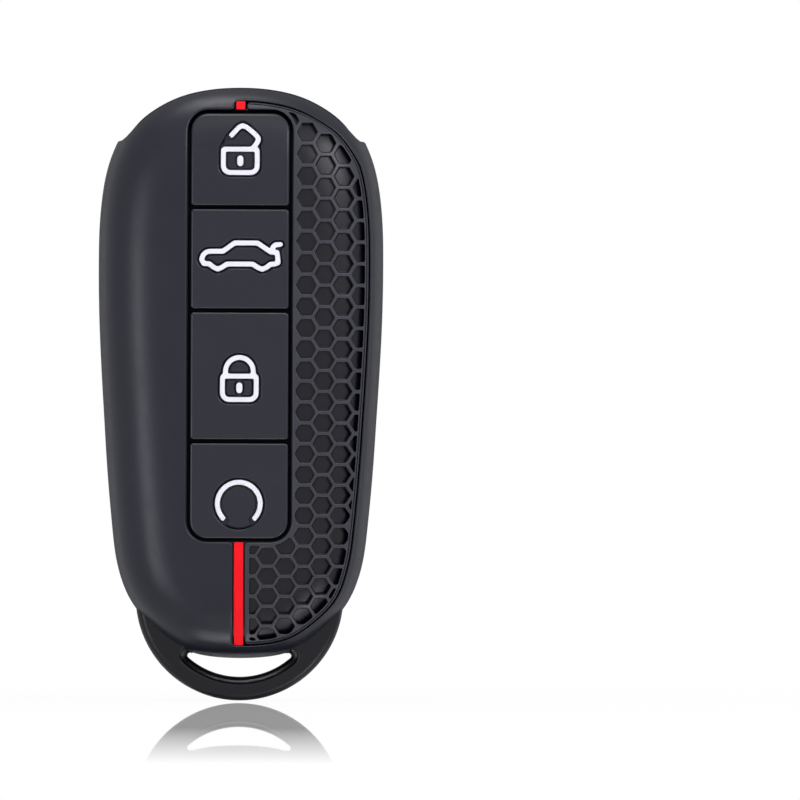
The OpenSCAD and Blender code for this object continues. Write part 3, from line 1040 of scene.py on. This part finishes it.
# Ends of the slot: their angle, round and height, and how deep they sink
SLOT_TURN = 43
SLOT_END_R = 0.45
SLOT_END_H = 0.9
SLOT_SINK = 2.5


def ways(turns):
    """Directions at some turns from straight down."""
    return np.stack([np.sin(turns), -np.cos(turns)], 1)


def loop_section(length):
    """Closed section of the loop for a distance from the slot to its outer edge."""
    turns = np.radians(np.linspace(90, 0, ROUND_COUNT + 1))
    rounded = LOOP_ROUND * np.stack([np.cos(turns), np.sin(turns)], 1)
    outer = rounded + [length - LOOP_ROUND, LOOP_HALF - LOOP_ROUND]
    upper = np.vstack([SLOT_STEPS, outer, [[length, 0]]])
    return np.vstack([upper, upper[-2:0:-1] * [1, -1]])


def body_gap(points):
    """How far outside the sleeve each point is."""
    level = np.clip(np.abs(points[:, 1]), 0, HALF_T * LEVEL_SHARE)
    return depth_of(level, 0) - rim_depth(points[:, [0, 2]])


def slot_track(distance):
    """One line of the slot's wall: along its arc, round its end and into the sleeve."""
    reach = SLOT_R * math.radians(SLOT_TURN) - SLOT_END_R
    turns = np.radians(np.linspace(0, 180, LOOP_STEPS - SLOT_ARC_STEPS))[1:]
    half = SLOT_END_H / 2
    along = np.concatenate([
        np.linspace(0, reach, SLOT_ARC_STEPS + 1),
        reach + (SLOT_END_R + distance) * np.sin(turns), [reach],
    ])
    across = np.concatenate([
        np.full(SLOT_ARC_STEPS + 1, -distance),
        half - (half + distance) * np.cos(turns), [SLOT_SINK],
    ])
    return (SLOT_R - across)[:, None] * ways(along / SLOT_R) + SLOT_MIDDLE


def outer_track(turns, along, height):
    """One line of the loop's outer side, up to where it is well inside the sleeve."""
    flat = SLOT_MIDDLE + ways(turns) * (SLOT_R + along)[:, None]
    last = int(np.argmax(body_gap(at_height(flat, height)) < -LOOP_SINK))
    places = np.linspace(0, last, LOOP_STEPS + 1)
    return np.stack([np.interp(places, np.arange(len(flat)), axis) for axis in flat.T], 1)


def lanyard_loop():
    """The loop, made of lines along it, with its ends in the sleeve."""
    piece = Piece()
    turns = np.radians(np.linspace(0, OUTER_TURN, OUTER_STEPS + 1))
    across = [0, LOOP_R] + LOOP_R * ways(turns) - (SLOT_MIDDLE + SLOT_R * ways(turns))
    sections = np.array([loop_section(length) for length in np.linalg.norm(across, axis=1)])
    count = sections.shape[1]
    lines = []
    for k in range(count):
        height = sections[0, k, 1]
        if min(k, count - k) < len(SLOT_STEPS):
            flat = slot_track(sections[0, k, 0])
        else:
            flat = outer_track(turns, sections[:, k, 0], height)
        track = at_height(flat, height)
        lines.append(np.vstack([track[::-1] * [-1, 1, 1], track[1:]]))
    rings = [piece.add(row) for row in np.array(lines).transpose(1, 0, 2)]
    for a, b in zip(rings, rings[1:]):
        piece.bridge(a, b)
    for ring in (rings[0], rings[-1]):
        middle = piece.add(piece.points[ring].mean(0)[None])[0]
        piece.faces += [(i, k, middle) for i, k in zip(ring, ring[1:] + ring[:1])]
    return piece


# Materials

# Noise, as scale and detail: in the colour, in the gloss and in the surface
CLOUDS = (90, 4)
SMUDGES = (700, 3)
GRAIN = (9000, 2)
# Range of the noise that counts, and what smudges and grain amount to
NOISE_LOW = 0.3
NOISE_HIGH = 0.7
SMUDGE = 0.03
GRAIN_HEIGHT = 0.03
# Where a surface that turns away starts to look duller, and by how much
LIMB_START = 0.5
LIMB_DULL = 0.5
WHITE = (1, 1, 1, 1)


def open_nodes(owner):
    owner.use_nodes = True
    return owner.node_tree.nodes, owner.node_tree.links


def add_node(nodes, kind, **values):
    """A node of some kind, with values for its inputs."""
    node = nodes.new(kind)
    for name, value in values.items():
        node.inputs[name].default_value = value
    return node


def ranged(nodes, links, value, start, end, low, high):
    """Runs from low to high while a value goes from start to end."""
    node = add_node(nodes, "ShaderNodeMapRange", **{
        "From Min": start, "From Max": end, "To Min": low, "To Max": high})
    links.new(value, node.inputs["Value"])
    return node.outputs["Result"]


def calculated(nodes, links, kind, first, second):
    node = nodes.new("ShaderNodeMath")
    node.operation = kind
    links.new(first, node.inputs[0])
    links.new(second, node.inputs[1])
    return node.outputs[0]


def silicone(name, colour, gloss=0.25, roughness=0.4, grain=0.2, tint=0.12, sunk=None):
    """Soft matt silicone, slightly clouded; what is sunk can take a darker colour, painted shade in the
    hollows beside the lighter ridges.
    """
    material = bpy.data.materials.new(name)
    nodes, links = open_nodes(material)
    shader = nodes["Principled BSDF"]
    shader.inputs["Specular IOR Level"].default_value = gloss
    place = nodes.new("ShaderNodeTexCoord")

    def noise(scale, detail):
        texture = add_node(nodes, "ShaderNodeTexNoise", Scale=scale, Detail=detail)
        links.new(place.outputs["Object"], texture.inputs["Vector"])
        return texture.outputs["Fac"]

    def mottled(kind, low, high):
        return ranged(nodes, links, noise(*kind), NOISE_LOW, NOISE_HIGH, low, high)

    mixed = nodes.new("ShaderNodeMix")
    mixed.data_type = "RGBA"
    mixed.inputs["A"].default_value = (*[c * (1 - tint) for c in colour], 1)
    mixed.inputs["B"].default_value = (*[min(1, c * (1 + tint)) for c in colour], 1)
    links.new(mottled(CLOUDS, 0, 1), mixed.inputs["Factor"])
    # Painted shade: points marked as sunk take the darker colour
    if sunk:
        depth = nodes.new("ShaderNodeAttribute")
        depth.attribute_name = SHADE_MARK
        ridged, mixed = mixed, nodes.new("ShaderNodeMix")
        mixed.data_type = "RGBA"
        links.new(depth.outputs["Fac"], mixed.inputs["Factor"])
        links.new(ridged.outputs["Result"], mixed.inputs["A"])
        mixed.inputs["B"].default_value = (*sunk, 1)
    links.new(mixed.outputs["Result"], shader.inputs["Base Color"])
    facing = nodes.new("ShaderNodeLayerWeight").outputs["Facing"]
    smudged = mottled(SMUDGES, roughness - SMUDGE, roughness + SMUDGE)
    dulled = ranged(nodes, links, facing, LIMB_START, 1, 0, LIMB_DULL)
    links.new(calculated(nodes, links, "ADD", smudged, dulled), shader.inputs["Roughness"])
    bump = add_node(nodes, "ShaderNodeBump", Strength=grain, Distance=GRAIN_HEIGHT * MM)
    links.new(noise(*GRAIN), bump.inputs["Height"])
    links.new(bump.outputs["Normal"], shader.inputs["Normal"])
    return material


BLACK = (0.006, 0.007, 0.015)
sleeve_finish = silicone("sleeve_silicone", BLACK, gloss=0.33, roughness=0.36)
pad_finish = silicone("pad_silicone", BLACK, gloss=0.4, roughness=0.32)
# The grip's ridges keep the lighter colour; the darker sunk colour on the cell floors is painted shade
grip_shaded_finish = silicone(
    "grip_silicone_shaded_floors", (0.034, 0.034, 0.045), gloss=0.3, roughness=0.33, sunk=(0.002, 0.002, 0.006))
# The web is near black and almost without gloss: painted shade at the bottom of the gap around the pads
web_shade_finish = silicone("web_painted_shade", (0.002, 0.002, 0.004), gloss=0.03)
loop_finish = silicone("loop_silicone", (0.004, 0.003, 0.006), gloss=0.25, roughness=0.33)
line_finish = silicone("line_silicone", (0.95, 0.008, 0.016), gloss=0.12, roughness=0.5, tint=0.03)
symbol_finish = silicone("symbol_silicone", (0.88, 0.87, 0.95), gloss=0.2, roughness=0.5, tint=0.015)

# The object's pieces

# Whether each side is the front, with the window
SIDES = {"front": True, "back": False}
# Piece, node, side, lowest and highest place of each line
LINES = [
    ("front_line_above", "front_upper_line", "front", WINDOW_TOP, CROWN_Z),
    ("front_line_below", "front_lower_line", "front", 0, WINDOW_BASE),
    ("back_line_whole", "back_line", "back", 0, CROWN_Z),
]

for side, front in SIDES.items():
    shell(front).build(side + "_cover", front, sleeve_finish, side + "_shell", "sleeve", bevel=LIP_BEVEL)
lanyard_loop().build("lanyard_eye", False, loop_finish, "lanyard_loop", "loop", sharp=50)
for side, front in SIDES.items():
    grip_panel(front).build(side + "_honeycomb", front, grip_shaded_finish, side + "_grip_panel", "grip")
for name, node, side, low, high in LINES:
    line(low, high).build(name, SIDES[side], line_finish, node, "line")
web().build("pad_web", True, web_shade_finish, "button_web", "web")
for name in PADS:
    button(name).build(name + "_pad", True, pad_finish, "button_" + name, "pad", name + "_button")
    symbol(name).build(
        name + "_mark", True, symbol_finish, name + "_symbol", "symbol", name + "_button")
for name in ("unlock", "lock"):
    plate([placed(name, keyhole(), KEYHOLE_ROUND)], SYMBOL_STEPS).build(
        name + "_keyhole_mark", True, symbol_finish, name + "_keyhole", "symbol", name + "_button")


# Floor, backdrop and lights

FLOOR_HALF = 6000
FLOOR_GAP = 0.25
FLOOR_COLOUR = (0.95, 0.95, 0.95, 1)
# How much the floor mirrors, and where in front that fades and ends
MIRROR_SHARE = 0.7
MIRROR_FULL = 240
MIRROR_END = 510
MIRROR_ROUGHNESS = 0.01
# How white the floor looks near the object, and from where it is all white
GLOW_NEAR = 0.85
GLOW_START = 20
GLOW_END = 300
ROOM_COLOUR = (0.2, 0.2, 0.2, 1)
COOL = (0.95, 0.95, 1)


def white_seen(nodes, links):
    """One for rays of the camera, of gloss and of glass, which show the backdrop."""
    rays = nodes.new("ShaderNodeLightPath")
    seen = rays.outputs["Is Camera Ray"]
    for kind in ("Is Glossy Ray", "Is Transmission Ray"):
        seen = calculated(nodes, links, "MAXIMUM", seen, rays.outputs[kind])
    return seen


def mixed_shader(nodes, links, factor, first, second):
    both = nodes.new("ShaderNodeMixShader")
    links.new(factor, both.inputs[0])
    links.new(first.outputs[0], both.inputs[1])
    links.new(second.outputs[0], both.inputs[2])
    return both


def floor_material():
    """White floor that mirrors what stands on it, less and less towards the viewer."""
    material = bpy.data.materials.new("pale_floor")
    nodes, links = open_nodes(material)
    nodes.clear()
    out = nodes.new("ShaderNodeOutputMaterial")
    matt = add_node(nodes, "ShaderNodeBsdfDiffuse", Color=FLOOR_COLOUR)
    glow = add_node(nodes, "ShaderNodeEmission", Color=WHITE)
    place = nodes.new("ShaderNodeTexCoord")
    away = nodes.new("ShaderNodeVectorMath")
    away.operation = "LENGTH"
    links.new(place.outputs["Object"], away.inputs[0])
    share = ranged(nodes, links, away.outputs["Value"], GLOW_START * MM, GLOW_END * MM, GLOW_NEAR, 1)
    part = calculated(nodes, links, "MULTIPLY", share, white_seen(nodes, links))
    base = mixed_shader(nodes, links, part, matt, glow)
    gloss = add_node(nodes, "ShaderNodeBsdfGlossy", Color=WHITE, Roughness=MIRROR_ROUGHNESS)
    parts = nodes.new("ShaderNodeSeparateXYZ")
    links.new(place.outputs["Object"], parts.inputs[0])
    mirror = ranged(
        nodes, links, parts.outputs["Y"], -MIRROR_END * MM, -MIRROR_FULL * MM, 0, MIRROR_SHARE)
    both = mixed_shader(nodes, links, mirror, base, gloss)
    links.new(both.outputs[0], out.inputs["Surface"])
    return material


def make_floor():
    half, low = FLOOR_HALF * MM, -FLOOR_GAP * MM
    corners = [(x, y, low) for x, y in box_loop(-half, half, -half, half)]
    mesh = bpy.data.meshes.new("floor")
    mesh.from_pydata(corners, [], [(0, 1, 2, 3)])
    mesh.materials.append(floor_material())
    floor = add_object("floor", mesh)


def make_world():
    world = bpy.data.worlds.new("studio")
    scene.world = world
    nodes, links = open_nodes(world)
    nodes.clear()
    out = nodes.new("ShaderNodeOutputWorld")
    room = add_node(nodes, "ShaderNodeBackground", Color=ROOM_COLOUR)
    backdrop = add_node(nodes, "ShaderNodeBackground", Color=WHITE)
    both = mixed_shader(nodes, links, white_seen(nodes, links), room, backdrop)
    links.new(both.outputs[0], out.inputs["Surface"])


def make_light(name, place, width, height, power, colour=COOL):
    """A soft panel of light that faces the object's middle."""
    lamp = bpy.data.lights.new(name, "AREA")
    lamp.shape = "RECTANGLE"
    lamp.size = width * MM
    lamp.size_y = height * MM
    lamp.energy = power
    lamp.color = colour
    light = add_object(name, lamp)
    light.location = Vector(place) * MM
    aim = Vector((0, 0, camera_z)) - Vector(place)
    light.rotation_euler = aim.to_track_quat("-Z", "Y").to_euler()
    light.visible_camera = False


make_floor()
make_world()
make_light("key", (216, -205, 200), 110, 110, 0.3)
make_light("glow", (52, -85, 110), 36, 36, 0.014)
make_light("left_strip", (-185, -237, 50), 40, 90, 0.12)
make_light("top", (-60, -170, 620), 260, 160, 1.2)
make_light("top_front", (0, -350, 330), 200, 100, 0.07)
make_light("back_key", (-40, 450, 160), 200, 200, 0.7, WHITE[:3])

scene.view_settings.view_transform = "Standard"
